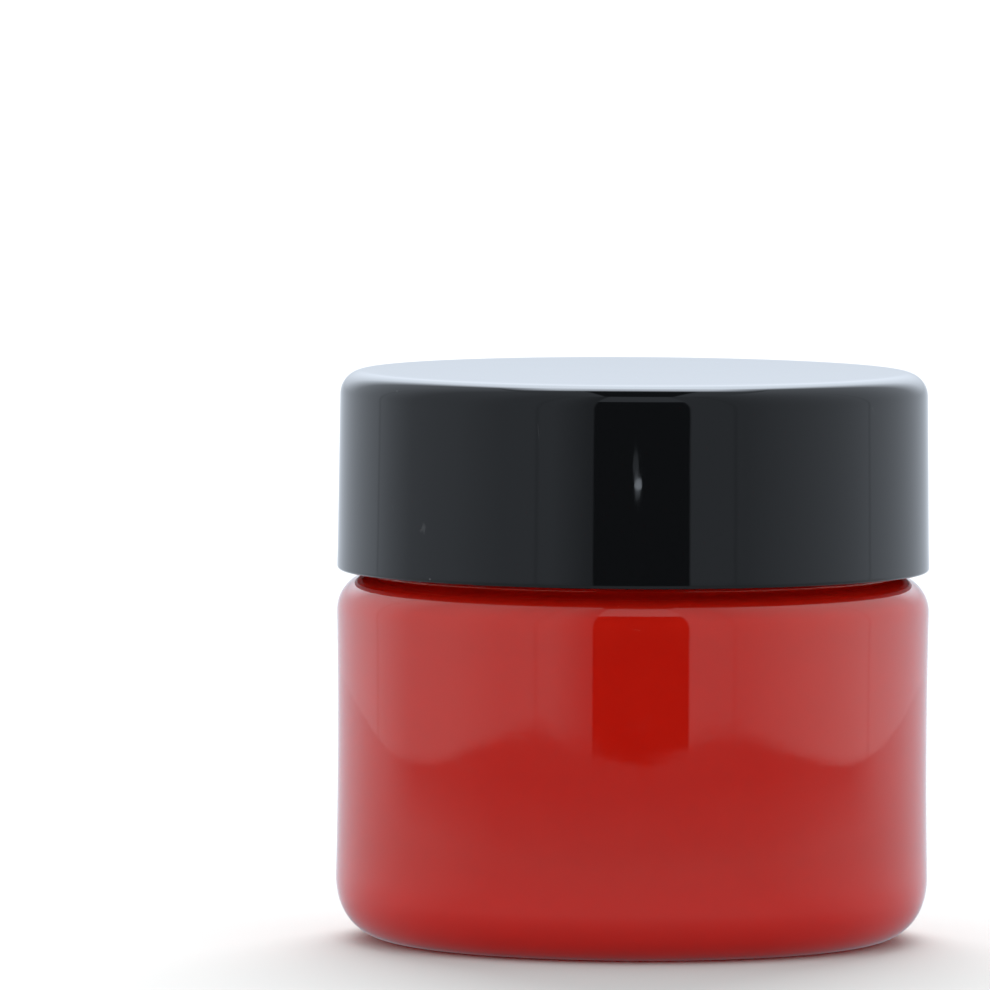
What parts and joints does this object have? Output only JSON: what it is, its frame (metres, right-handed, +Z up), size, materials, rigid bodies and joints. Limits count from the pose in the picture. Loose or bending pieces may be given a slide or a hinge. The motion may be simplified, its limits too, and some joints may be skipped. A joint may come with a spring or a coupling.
{
  "type": "paint jar",
  "caption": "Squat clear round jar of red paint with a screw neck, a foam liner and a smooth glossy black screw cap as wide as the jar.",
  "frame": {"origin": "centre of the jar's underside, on the plane that it stands on", "axes": "+Z up along the jar's axis; +X and +Y are free, because the jar is round, and the neck's thread starts towards +X"},
  "size_m": [0.05, 0.05, 0.048],
  "materials": {
    "clear_jar": "clear moulded plastic, glossy",
    "red_paint": "wet opaque red paint",
    "white_foam": "closed-cell foam, matt",
    "black_cap": "polished black plastic"
  },
  "bodies": {
    "jar": {"jar": "clear_jar", "paint": "red_paint"},
    "liner": {"liner": "white_foam"},
    "cap": {"cap": "black_cap"}
  },
  "joints": [
    {"name": "cap_rise", "type": "slide", "parent": "jar", "child": "liner", "axis": [0, 0, 1], "range_m": [0, 0.0254]},
    {"name": "cap_turn", "type": "hinge", "parent": "liner", "child": "cap", "pos_m": [0, 0, 0.0464], "axis": [0, 0, 1], "range_deg": [0, 2160]}
  ],
  "couplings": [
    {"joint": "cap_rise", "follows": "cap_turn", "m_per_rad": 0.00067376}
  ]
}
